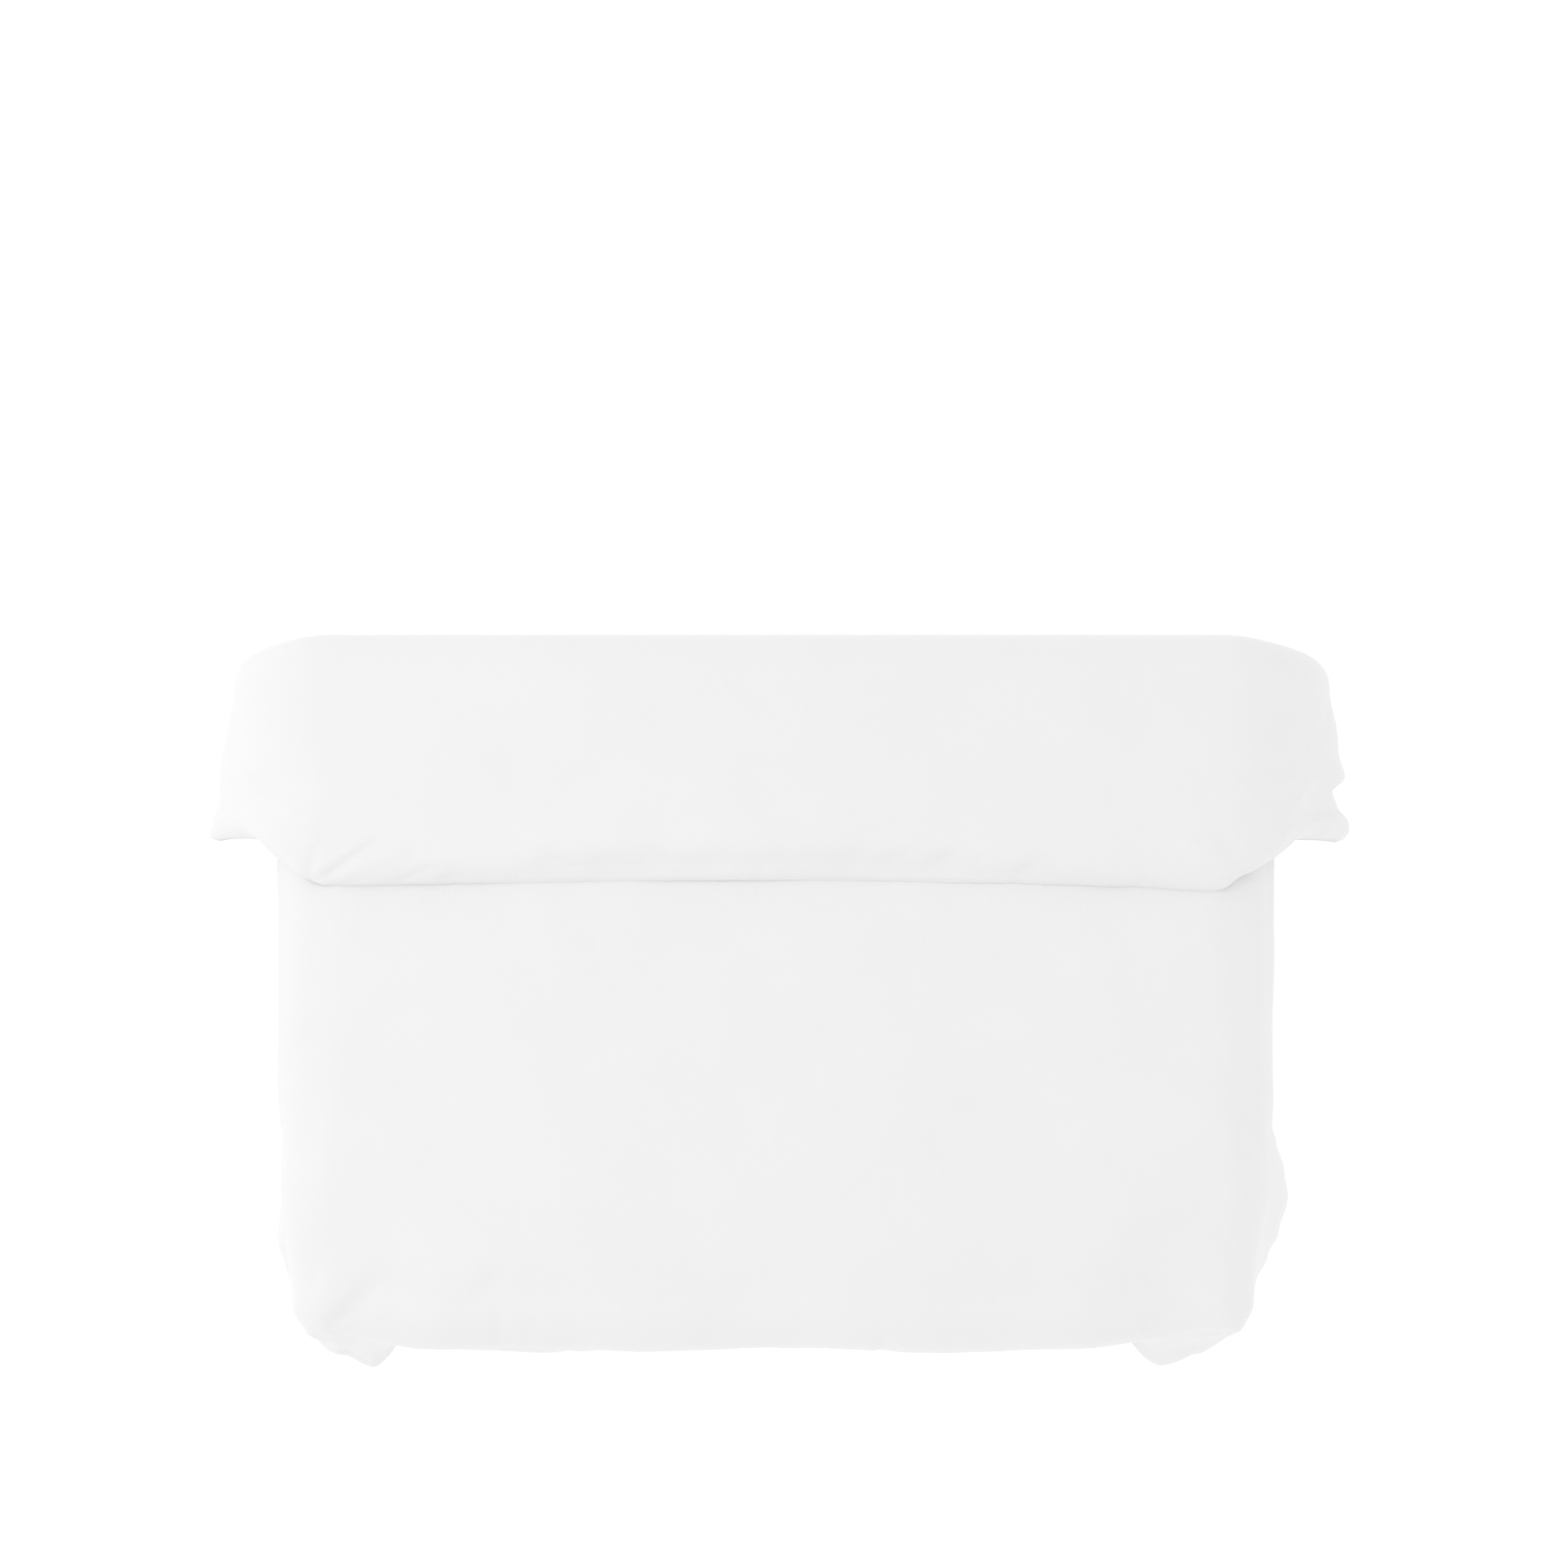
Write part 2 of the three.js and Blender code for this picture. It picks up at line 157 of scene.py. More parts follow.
ridges = [
    ((-0.770, 0.030), (-0.665, 0.105), 0.012, 0.0050), ((-0.610, 0.048), (-0.505, 0.052), 0.012, 0.0030),
    ((-0.677, 1.570), (-0.480, 1.625), 0.030, 0.0060), ((0.560, 1.560), (0.400, 1.615), 0.034, 0.0040),
    ((-0.640, 0.060), (-0.740, 0.030), 0.020, 0.0045), ((0.700, 0.085), (0.765, 0.035), 0.022, 0.0045),
]


def smooth(x):
    x = np.clip(x, 0, 1)
    return x * x * (3 - 2 * x)


def smoothOut(x, start, run):
    return smooth((x - start) / run)


def smoothIn(x, end, run):
    return smooth((end - x) / run)


def bump(x, at, width):
    return np.exp(-(((x - at) / width) ** 2))


# along the bed and up, at the middle of the bed: flat on the body, round the fold, back along the cuff
def lengthwise(v, n):
    turn = np.clip((v - cut["cuff"]) / (foldHeight - middle), 0, math.pi)
    radius = foldHeight - n
    onCuff, onBody = v <= cut["cuff"], v >= foldEnd
    past = np.where(onCuff, v - cut["cuff"], np.where(onBody, foldEnd - v, radius * np.sin(turn)))
    height = np.where(onCuff, 2 * foldHeight - n, np.where(onBody, n, foldHeight + radius * np.cos(turn)))
    return bed["foldLine"] + past, height


def awayFromFold(v):
    return smooth((v - foldEnd) / bed["foldReach"]) - smooth((cut["cuff"] - v) / bed["foldReach"])


# how far a flat point is past the flat top, to the side and to the foot
def overhang(u, v):
    return np.maximum(0, np.abs(u) - bed["flatHalf"]), np.maximum(0, v - footV)


# where a flat point lies on the bed; the same laying-out as the frame's own solids
def layOut(u, v, n):
    side, foot = overhang(u, v)
    out = np.hypot(side, foot)
    safe = np.maximum(out, 1e-9)
    y, height = lengthwise(np.minimum(v, footV), n)
    turnRadius = bed["edgeRadius"] + foldHeight - (foldHeight - middle) * awayFromFold(v)
    towardHem = np.maximum(0, 1 - v / cut["cuff"])
    steepest = np.radians(90 + (bed["cuffFallAngle"] - 90) * towardHem)
    turn = np.minimum(out / turnRadius, steepest)
    fall = out - turn * turnRadius
    reach = (bed["edgeRadius"] + height) * np.sin(turn) + fall * np.cos(turn)
    z = (bed["edgeRadius"] + height) * np.cos(turn) - bed["edgeRadius"] - fall * np.sin(turn)
    drop = -bed["foldDrop"] * (1 - np.maximum(0, awayFromFold(v)))
    lean = smooth(side / bed["leanRun"]) * (drop + (bed["hemRise"] + bed["foldDrop"]) * towardHem)
    x = np.sign(u) * (np.minimum(np.abs(u), bed["flatHalf"]) + reach * side / safe)
    return np.stack([x, y - reach * foot / safe + lean, z], axis=-1)


# a smooth run through (place, height) pairs
def eased(x, pairs):
    at, height = (np.array(column) for column in zip(*pairs))
    index = np.clip(np.searchsorted(at, x, side="right") - 1, 0, len(at) - 2)
    share = smooth((x - at[index]) / (at[index + 1] - at[index]))
    return height[index] + (height[index + 1] - height[index]) * share


# a place on the bed's outline, from the start of the foot corner, at some reach outside it
def outlineSpot(along, reach, sign):
    angle = np.clip(along, 0, cornerRun) / cornerRun * math.pi / 2
    x = bed["flatHalf"] - np.maximum(0, along - cornerRun) + reach * np.cos(angle)
    y = -bed["footTurn"] - np.minimum(0, along) - reach * np.sin(angle)
    return np.stack([sign * x, y, np.zeros_like(x)], axis=-1)


# the move of the hanging cloth into its cones and big folds
def hangingFolds(u, v, spot):
    side, foot = overhang(u, v)
    out = np.hypot(side, foot)
    corner = cornerRun * np.arctan2(foot, np.maximum(side, 1e-9)) / (math.pi / 2)
    alongFoot = cornerRun + bed["flatHalf"] - np.abs(u)
    along = np.where(side <= 0, alongFoot, np.where(foot <= 0, v - footV, corner))
    onBody = smoothOut(v - foldEnd, *drape["body"])
    slide = eased(along, cornerSpread) * smoothOut(out, *drape["slide"]) * onBody
    reach = np.hypot(np.maximum(0, np.abs(spot[..., 0]) - bed["flatHalf"]),
                     np.maximum(0, -spot[..., 1] - bed["footTurn"]))
    sign, slid = np.sign(u), along + slide
    slidOver = outlineSpot(slid, reach, sign) - outlineSpot(along, reach, sign)
    moved = np.where(onBody[..., None] > 0, slidOver, 0)
    body = np.where(u < 0, eased(slid, bodyFolds[-1]), eased(slid, bodyFolds[1]))
    zipHem = smoothOut(v, *drape["zipHem"]) * smoothIn(np.abs(u), *drape["zipHemSide"])
    body = body * smoothOut(out, *drape["bodyFolds"]) * (1 - zipHem) * onBody
    towardHem = np.maximum(0, 1 - v / cut["cuff"])
    cuff = np.where(u < 0, eased(v, cuffFolds[-1]), eased(v, cuffFolds[1]))
    start, run = (at + more * towardHem for at, more in zip(drape["cuffFolds"], drape["cuffFoldsHem"]))
    cuff = cuff * smoothOut(side, start, run)
    angle = np.clip(slid, 0, cornerRun) / cornerRun * math.pi / 2
    outward = np.stack([sign * np.cos(angle), -np.sin(angle), np.zeros_like(out)], axis=-1)
    return moved + outward * (body + cuff)[..., None]


# how far a flat point is inside the nearest hem
def fromHem(u, v):
    return np.minimum(np.minimum(halfWidth - np.abs(u), v), cut["length"] - v)


# half the thickness, rounded off towards the hem
def roundHalf(inside, full, atHem):
    short = np.clip(1 - inside / cut["rounding"], 0, 1)
    return atHem + (full - atHem) * np.sqrt(1 - short * short)


# the cuff's thin edge sinks on to the duvet below it
def sinking(u, v):
    thinned = middle - roundHalf(fromHem(u, v), middle, cut["hemHalf"])
    return (drape["sinkAll"] + drape["sinkThinned"] * thinned) * smoothIn(v, *drape["sink"])


# where a flat point of the finished duvet is
def place(u, v, n):
    spot = layOut(u, v, n + sinking(u, v))
    spot = spot + hangingFolds(u, v, spot)
    spot[..., 1] += eased(u, cuffHem) * smooth(1 - v / drape["hemWave"])
    return spot


# thickness direction at a flat point, from the underside to the top face
def throughThickness(u, v):
    step = 0.001
    across = layOut(u, v, middle + step) - layOut(u, v, middle - step)
    return across / np.maximum(np.linalg.norm(across, axis=-1, keepdims=True), 1e-9)


# smooth repeatable noise from a few crossed waves
def softNoise(u, v, size, seed, waves=14):
    rng = np.random.default_rng(seed)
    total = np.zeros(np.shape(u))
    for _ in range(waves):
        angle, phase = rng.uniform(0, math.pi), rng.uniform(0, 2 * math.pi)
        pitch = size * rng.uniform(0.7, 1.6)
        total += np.sin((u * math.cos(angle) + v * math.sin(angle)) * 2 * math.pi / pitch + phase)
    return total / waves ** 0.5


# one crease: deepest at its start, fading towards its end
def groove(u, v, line):
    (u0, v0), (u1, v1), width, depth = line
    du, dv = u1 - u0, v1 - v0
    share = ((u - u0) * du + (v - v0) * dv) / (du * du + dv * dv)
    off = np.hypot(u - (u0 + np.clip(share, 0, 1) * du), v - (v0 + np.clip(share, 0, 1) * dv))
    taper = smooth(1.25 - np.clip(share, 0, 1)) * smooth(share * 4 + 1)
    return depth * taper * np.exp(-((off / width) ** 2))


softness = {
    "swell": (0.0026, 0.42),  # height and size of the slow unevenness of the loft
    "dapple": (0.0010, 0.17),
    "rumple": (0.0010, 0.07),  # close to the seam
    "pucker": 0.0006,
    "puckerPitch": 0.047,
    "seamBand": 0.075,
    "cornerFan": 0.003,  # the gathered folds round a foot corner
    "cornerFanCount": 9,
    "deepest": 0.0085,  # no crease goes deeper, so the insert stays covered
}


# relief of an outer face: softness of the loft, puckers at the seam, creases and ridges
def relief(u, v):
    inside = fromHem(u, v)
    (swell, swellSize), (dapple, dappleSize) = softness["swell"], softness["dapple"]
    total = swell * softNoise(u, v, swellSize, 3) + dapple * softNoise(u, v, dappleSize, 5)
    hemShare = smooth(1 - inside / softness["seamBand"])
    alongHem = np.where(halfWidth - np.abs(u) < np.minimum(v, cut["length"] - v), v, u)
    pucker = np.sin(alongHem * 2 * math.pi / softness["puckerPitch"] + 2.2 * softNoise(u, v, 0.3, 8))
    rumple, rumpleSize = softness["rumple"]
    gathered = softness["pucker"] * pucker + rumple * softNoise(u, v, rumpleSize, 9)
    total += hemShare * smooth(inside / 0.012) * gathered
    for line in creases:
        total -= groove(u, v, line)
    for line in ridges:
        total += groove(u, v, line)
    side, foot = overhang(u, v)
    corner = smooth(np.minimum(side, foot) / 0.1)
    fan = np.sin(np.arctan2(foot, np.maximum(side, 1e-6)) * softness["cornerFanCount"])
    return total + corner * softness["cornerFan"] * fan


settled = {}  # face: its move at each point of the settled grid


# how the cloth has moved under its own slack, read from the coarser settled mesh
def settling(u, v, face):
    if face not in settled:
        return 0
    field = settled[face]
    rows, columns = field.shape[0] - 1, field.shape[1] - 1
    across = np.clip((u / cut["width"] + 0.5) * columns, 0, columns - 1e-6)
    down = np.clip(v / cut["length"] * rows, 0, rows - 1e-6)
    i, j = down.astype(int), across.astype(int)
    p, q = (down - i)[..., None], (across - j)[..., None]
    head = field[i, j] * (1 - q) + field[i, j + 1] * q
    return head * (1 - p) + (field[i + 1, j] * (1 - q) + field[i + 1, j + 1] * q) * p


# loss of the loft, as a share, and how far it reaches
thinCorner = {"reachLeft": 0.17, "reachRight": 0.20, "lossLeft": 0.42, "lossRight": 0.60, "inside": 0.01}


# where the foot corners are pulled thin over the bed's corner
def pulledThin(u, v):
    side, foot = np.abs(u) - bed["flatHalf"], v - footV
    reach = np.where(u < 0, thinCorner["reachLeft"], thinCorner["reachRight"])
    away = np.hypot(side + thinCorner["inside"], foot + thinCorner["inside"]) / reach
    share = smooth(1.2 - away) * smooth((v - foldEnd - 0.2) / 0.2)
    return np.where(u < 0, thinCorner["lossLeft"], thinCorner["lossRight"]) * share * 2 * middle


# a place inside the cover, carried along as both its faces settle
def placeInside(u, v, n):
    return place(u, v, n) + (settling(u, v, "top") + settling(u, v, "under")) / 2


# half the thickness left at the seam, more where the zip is sewn in
def seamHalf(u, v):
    zipped = smoothOut(v, *cut["zipFrom"]) * smoothIn(np.abs(u), *cut["zipReach"])
    return cut["hemHalf"] + (cut["zipHalf"] - cut["hemHalf"]) * zipped


# one face of the cover, before and after the slack is let in
def coverFace(u, v, face):
    half = roundHalf(fromHem(u, v), middle, seamHalf(u, v))
    return place(u, v, middle + (half - pulledThin(u, v) * half / middle if face == "top" else -half))


# the top face is seen past the fold, the under face on the cuff
def seenShare(v, onTop):
    farFrom, farRun = drape["seenUnder"]
    return np.where(onTop, smoothOut(v - foldEnd, *drape["seenTop"]), smoothIn(v, foldEnd - farFrom, farRun))


def coverSurface(u, v, face):
    spot = coverFace(u, v, face) + settling(u, v, face)
    sign = 1 if face == "top" else -1
    lift = relief(u, v) * seenShare(v, face == "top") * smooth(fromHem(u, v) / drape["seamRelief"])
    deepest = np.minimum(softness["deepest"], 0.8 * roundHalf(fromHem(u, v), middle, cut["hemHalf"]))
    lift = np.where(lift < 0, -deepest * np.tanh(-lift / deepest), lift)
    return spot + throughThickness(u, v) * (sign * lift)[..., None]


# materials
def newMaterial(name):
    material = bpy.data.materials.new(name)
    material.use_nodes = True
    tree = material.node_tree
    return material, tree, tree.nodes["Principled BSDF"]


def node(tree, kind, values=None, **props):
    made = tree.nodes.new(kind)
    for key, value in props.items():
        setattr(made, key, value)
    for key, value in (values or {}).items():
        made.inputs[key].default_value = value
    return made


def mathNode(tree, operation, *values):
    made = node(tree, "ShaderNodeMath", operation=operation)
    for socket, value in zip(made.inputs, values):
        if isinstance(value, (int, float)):
            socket.default_value = value
        else:
            tree.links.new(value, socket)
    return made.outputs[0]


# thread: pitch of the weave; weave: its share of the height; stitch: pitch of the sewing
clothFinishes = {
    "coverCotton": {"color": (0.85, 0.85, 0.85), "thread": 0.00065, "rough": 0.82, "sheen": 0.22,
                    "weave": 0.35, "stitch": 0.0045},
    "insertCambric": {"color": (0.76, 0.76, 0.745), "thread": 0.0005, "rough": 0.7, "sheen": 0.3,
                      "weave": 0.3, "stitch": 0.003},
    "zipTapeWeave": {"color": (0.78, 0.78, 0.78), "thread": 0.0009, "rough": 0.75, "sheen": 0.15,
                     "weave": 0.6, "stitch": 0.002},
    "tieTwill": {"color": (0.78, 0.78, 0.77), "thread": 0.0010, "rough": 0.8, "sheen": 0.15,
                 "weave": 0.6, "stitch": 0.002},
    "labelSatin": {"color": (0.82, 0.82, 0.82), "thread": 0.0005, "rough": 0.5, "sheen": 0.25,
                   "weave": 0.25, "stitch": 0.0015},
}
clothNoise = {
    "cloud": {"Scale": 5.0, "Detail": 4.0, "Roughness": 0.55},
    "creasing": {"Scale": 26.0, "Detail": 5.0, "Roughness": 0.62, "Distortion": 0.6},
    "crumple": {"Scale": 95.0, "Detail": 3.0, "Roughness": 0.5, "Distortion": 1.2},
    "slub": {"Scale": 900.0, "Detail": 3.0, "Roughness": 0.6},
}
clothHeight = {"weave": 0.00006, "slub": 0.00012, "creasing": 0.0020, "crumple": 0.0005}  # metres


def clothMaterial(name):
    finish = clothFinishes[name]
    material, tree, shader = newMaterial(name)
    links = tree.links
    uv = node(tree, "ShaderNodeUVMap", uv_map="flatCut")
    apart = node(tree, "ShaderNodeSeparateXYZ")
    links.new(uv.outputs["UV"], apart.inputs[0])
    u, v = apart.outputs["X"], apart.outputs["Y"]
    waves = []
    for along, phase in ((u, 0.0), (v, 0.5)):
        turns = mathNode(tree, "MULTIPLY_ADD", along, 2 * math.pi / finish["thread"], phase * math.pi)
        waves.append(mathNode(tree, "SINE", turns))
    over = mathNode(tree, "MULTIPLY", waves[0], waves[1])  # threads pass over and under each other
    stretch = node(tree, "ShaderNodeMapping", {"Scale": (1.0, 0.12, 1.0)})  # slubs lie along the threads
    links.new(uv.outputs["UV"], stretch.inputs["Vector"])
    noise = {}
    for kind, values in clothNoise.items():
        made = node(tree, "ShaderNodeTexNoise", values)
        flat = stretch.outputs["Vector"] if kind == "slub" else uv.outputs["UV"]
        links.new(flat, made.inputs["Vector"])
        noise[kind] = made.outputs["Fac"]
    # colour: faint cloudiness, slubs and thread shading
    tone = mathNode(tree, "MULTIPLY_ADD", noise["cloud"], 0.030, 0.985)
    tone = mathNode(tree, "MULTIPLY_ADD", noise["slub"], 0.018, tone)
    tone = mathNode(tree, "MULTIPLY_ADD", over, 0.012, tone)
    tone = mathNode(tree, "SUBTRACT", tone, 0.026)
    mix = node(tree, "ShaderNodeMix", data_type="RGBA", blend_type="MULTIPLY")
    mix.inputs["Factor"].default_value = 1.0
    mix.inputs["A"].default_value = (*finish["color"], 1)
    links.new(tone, mix.inputs["B"])
    links.new(mix.outputs["Result"], shader.inputs["Base Color"])
    # height: weave, slubs, soft crumple and the sewn line just inside each hem
    height = mathNode(tree, "MULTIPLY", over, finish["weave"] * clothHeight["weave"])
    for kind in ("slub", "creasing", "crumple"):
        height = mathNode(tree, "MULTIPLY_ADD", noise[kind], clothHeight[kind], height)
    height = mathNode(tree, "ADD", height, sewnLine(tree, u, v, finish["stitch"]))
    raised = node(tree, "ShaderNodeBump", {"Strength": 0.55, "Distance": 1.0})
    links.new(height, raised.inputs["Height"])
    links.new(raised.outputs["Normal"], shader.inputs["Normal"])
    rough = mathNode(tree, "MULTIPLY_ADD", noise["slub"], 0.12, finish["rough"] - 0.06)
    links.new(rough, shader.inputs["Roughness"])
    shader.inputs["Sheen Weight"].default_value = finish["sheen"]
    shader.inputs["Sheen Roughness"].default_value = 0.55
    shader.inputs["Specular IOR Level"].default_value = 0.25
    return material


# distance to the nearest cut edge, from the flat place
def hemDistance(tree, u, v):
    across = mathNode(tree, "SUBTRACT", halfWidth, mathNode(tree, "ABSOLUTE", u))
    ends = mathNode(tree, "MINIMUM", v, mathNode(tree, "SUBTRACT", cut["length"], v))
    return mathNode(tree, "MINIMUM", across, ends)


sewing = {"inside": 0.006, "halfWidth": 0.0016, "sunk": 0.0005, "stitch": 0.00025}


# a shallow channel beside the hem, with its stitches raised in it
def sewnLine(tree, u, v, pitch):
    off = mathNode(tree, "ABSOLUTE", mathNode(tree, "SUBTRACT", hemDistance(tree, u, v), sewing["inside"]))
    share = mathNode(tree, "MINIMUM", mathNode(tree, "DIVIDE", off, sewing["halfWidth"]), 1.0)
    near = mathNode(tree, "SUBTRACT", 1.0, share)
    turns = mathNode(tree, "MULTIPLY", mathNode(tree, "ADD", u, v), 2 * math.pi / pitch)
    dash = mathNode(tree, "SINE", turns)
    return mathNode(tree, "MULTIPLY", near,
                    mathNode(tree, "MULTIPLY_ADD", dash, sewing["stitch"], -sewing["sunk"]))


hardFinishes = {
    "zipNylon": {"color": (0.80, 0.80, 0.80), "rough": 0.42, "metal": 0.0, "grain": 420.0},
    "zipPaintedMetal": {"color": (0.74, 0.74, 0.74), "rough": 0.32, "metal": 0.15, "grain": 900.0},
}


def hardMaterial(name):
    finish = hardFinishes[name]
    material, tree, shader = newMaterial(name)
    links = tree.links
    spots = node(tree, "ShaderNodeTexCoord").outputs["Object"]
    grain = node(tree, "ShaderNodeTexNoise", {"Scale": finish["grain"], "Detail": 4.0})
    rubbed = node(tree, "ShaderNodeTexNoise", {"Scale": 160.0, "Detail": 2.0})
    links.new(spots, grain.inputs["Vector"])
    links.new(spots, rubbed.inputs["Vector"])
    worn = node(tree, "ShaderNodeValToRGB")
    dull, bright = worn.color_ramp.elements
    dull.position, bright.position = 0.35, 0.7
    dull.color = tuple(0.86 * c for c in finish["color"]) + (1,)
    bright.color = finish["color"] + (1,)
    links.new(rubbed.outputs["Fac"], worn.inputs["Fac"])
    links.new(worn.outputs["Color"], shader.inputs["Base Color"])
    rough = mathNode(tree, "MULTIPLY_ADD", grain.outputs["Fac"], 0.25, finish["rough"] - 0.1)
    links.new(rough, shader.inputs["Roughness"])
    raised = node(tree, "ShaderNodeBump", {"Strength": 0.2, "Distance": 0.0002})
    links.new(grain.outputs["Fac"], raised.inputs["Height"])
    links.new(raised.outputs["Normal"], shader.inputs["Normal"])
    shader.inputs["Metallic"].default_value = finish["metal"]
    return material


materials = {name: clothMaterial(name) for name in clothFinishes}
materials.update({name: hardMaterial(name) for name in hardFinishes})
print("materials ready")


# meshes
def objectFrom(mesh, name, material):
    data = bpy.data.meshes.new(name)
    mesh.to_mesh(data)
    mesh.free()
    made = bpy.data.objects.new(name, data)
    scene.collection.objects.link(made)
    data.materials.append(materials[material])
    for face in data.polygons:
        face.use_smooth = True
    return made


# a flat grid of cloth, with its flat places kept as a UV map, laid out by shapeOf(u, v);
# uLines and vLines are (row, place) pairs, so that rows can lie closer where there is more to show
def clothGrid(uLines, vLines, shapeOf, flip=False):
    mesh = bmesh.new()
    counts = [lines[-1][0] for lines in (uLines, vLines)]
    bmesh.ops.create_grid(mesh, x_segments=counts[0], y_segments=counts[1], size=1)
    shares = np.array([vert.co[:2] for vert in mesh.verts]).T / 2 + 0.5
    flat = [np.interp(share * lines[-1][0], *zip(*lines)) for share, lines in zip(shares, (uLines, vLines))]
    flatMap = mesh.loops.layers.uv.new("flatCut")
    for face in mesh.faces:
        for loop in face.loops:
            loop[flatMap].uv = (flat[0][loop.vert.index], flat[1][loop.vert.index])
    for vert, spot in zip(mesh.verts, shapeOf(*flat)):
        vert.co = spot
    if flip:
        bmesh.ops.reverse_faces(mesh, faces=mesh.faces)
    return mesh


# two faces joined round their rims into one closed bag; the top face's points come first
def closedBag(topFace, underFace):
    loose = bpy.data.meshes.new("loose")
    underFace.to_mesh(loose)
    underFace.free()
    topFace.from_mesh(loose)
    bpy.data.meshes.remove(loose)
    bmesh.ops.bridge_loops(topFace, edges=[edge for edge in topFace.edges if edge.is_boundary])
    bmesh.ops.recalc_face_normals(topFace, faces=topFace.faces)
    return topFace


slack = {
    "columns": 156,
    "rows": 142,
    "growth": 0.012,  # the cloth is cut this much fuller than the bag it fills
    "pressure": 3.0,
    "frames": 14,
    "seenCap": 0.010,  # the most that a seen face moves
    "hiddenCap": 0.002,
    "inwardCap": 0.003,
    "zipStill": (1.85, 0.11),  # v and u where the zipped hem doesn't move
    "zipStillSide": (0.64, 0.10),
    "seamBand": 0.035,  # inside it both faces move together
    "stiffness": 18,
    "shear": 6,
    "bending": 0.9,
    "mass": 0.25,
    "airDamping": 2,
    "quality": 4,
}


# the cloth is held where it rests on the bed, where the cuff lies on it and along the zip
def heldPoints(u, v, onTop):
    flatTop = np.abs(u) < bed["flatHalf"]
    rests = (~onTop) & (v > foldEnd) & (v < footV) & flatTop
    covered = onTop & (v < foldEnd + 0.02) & flatTop
    zipped = (v > sum(cut["zipFrom"])) & (np.abs(u) < cut["zipReach"][0])
    return rests | covered | zipped


def addSlack(bag):
    cloth = bag.modifiers.new("settle", "CLOTH")
    settings = cloth.settings
    settings.quality = slack["quality"]
    settings.mass = slack["mass"]
    settings.tension_stiffness = settings.compression_stiffness = slack["stiffness"]
    settings.shear_stiffness = slack["shear"]
    settings.bending_stiffness = slack["bending"]
    settings.air_damping = slack["airDamping"]
    settings.shrink_min = -slack["growth"]
    settings.use_pressure = True
    settings.uniform_pressure_force = slack["pressure"]
    settings.effector_weights.gravity = 0
    settings.vertex_group_mass = "held"
    cloth.collision_settings.use_collision = False
    cloth.point_cache.frame_start, cloth.point_cache.frame_end = 1, slack["frames"]


# the moves are kept small: less where hidden, none at the zip, little inwards, the same at the seam
def cappedMoves(moved, u, v, onTop):
    count = len(moved) // 2
    cap = slack["hiddenCap"] + (slack["seenCap"] - slack["hiddenCap"]) * seenShare(v, onTop)
    cap = cap * (1 - smoothOut(v, *slack["zipStill"]) * smoothIn(np.abs(u), *slack["zipStillSide"]))
    size = np.maximum(np.linalg.norm(moved, axis=1), 1e-9)
    print(f"cover settled: mean move {size.mean() * 1000:.1f} mm")
    moved = moved * (cap * np.tanh(size / np.maximum(cap, 1e-6)) / size)[:, None]
    outside = throughThickness(u, v) * np.where(onTop, 1, -1)[:, None]
    moved += outside * np.maximum(0, -slack["inwardCap"] - (moved * outside).sum(axis=1))[:, None]
    nearHem = smooth(1 - fromHem(u, v)[:count] / slack["seamBand"])[:, None]
    together = (moved[:count] + moved[count:]) / 2
    moved[:count] += (together - moved[:count]) * nearHem
    moved[count:] += (together - moved[count:]) * nearHem
    return moved[:count], moved[count:]


# the slack and the air in the cover work themselves out over a few steps
def settleCover():
    lines = [(0, -halfWidth), (slack["columns"], halfWidth)], [(0, 0.0), (slack["rows"], cut["length"])]
    faces = [clothGrid(*lines, lambda u, v, face=face: coverFace(u, v, face), face == "under")
             for face in ("top", "under")]
    bag = objectFrom(closedBag(*faces), "settlingBag", "coverCotton")
    start = np.array([vert.co[:] for vert in bag.data.vertices])
    columns, rows = slack["columns"] + 1, slack["rows"] + 1
    u = np.tile(np.linspace(-halfWidth, halfWidth, columns), rows * 2)
    v = np.tile(np.repeat(np.linspace(0, cut["length"], rows), columns), 2)
    onTop = np.arange(len(start)) < len(start) // 2
    held = bag.vertex_groups.new(name="held")
    held.add([int(i) for i in np.flatnonzero(heldPoints(u, v, onTop))], 1.0, "REPLACE")
    addSlack(bag)
    for step in range(1, slack["frames"] + 1):
        scene.frame_set(step)
    solved = bag.evaluated_get(bpy.context.evaluated_depsgraph_get()).data
    moved = np.array([vert.co[:] for vert in solved.vertices]) - start
    scene.frame_set(1)
    bpy.data.objects.remove(bag)
    for face, moves in zip(("top", "under"), cappedMoves(moved, u, v, onTop)):
        settled[face] = moves.reshape(rows, columns, 3)


settleCover()

# the rows lie closer at the hems, where the folds and creases are
cover = {
    "cloth": 0.0012,
    "columns": [(0, -halfWidth), (88, -0.60), (188, 0.60), (276, halfWidth)],
    "bodyRows": [(0, foldEnd), (72, 1.45), (160, cut["length"])],
    "cuffRows": [(0, 0.0), (30, 0.14), (72, foldEnd)],
}


def coverPanel(name, face, rows, nodes):
    grid = clothGrid(cover["columns"], rows, lambda u, v: coverSurface(u, v, face), face == "under")
    panel = objectFrom(grid, name, "coverCotton")
    wall = panel.modifiers.new("cloth", "SOLIDIFY")
    wall.thickness = cover["cloth"]
    wall.offset = -1
    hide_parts(*nodes)
    return panel


for face in ("top", "under"):
    body = coverPanel(f"coverBody_{face}", face, cover["bodyRows"], [f"cover_{face}_panel"])
    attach(body, "duvet")
    cuff = coverPanel(f"coverCuff_{face}", face, cover["cuffRows"],
                      [f"cover_{face}_fold", f"cover_{face}_cuff"])
    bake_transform(cuff)
print("cover laid")

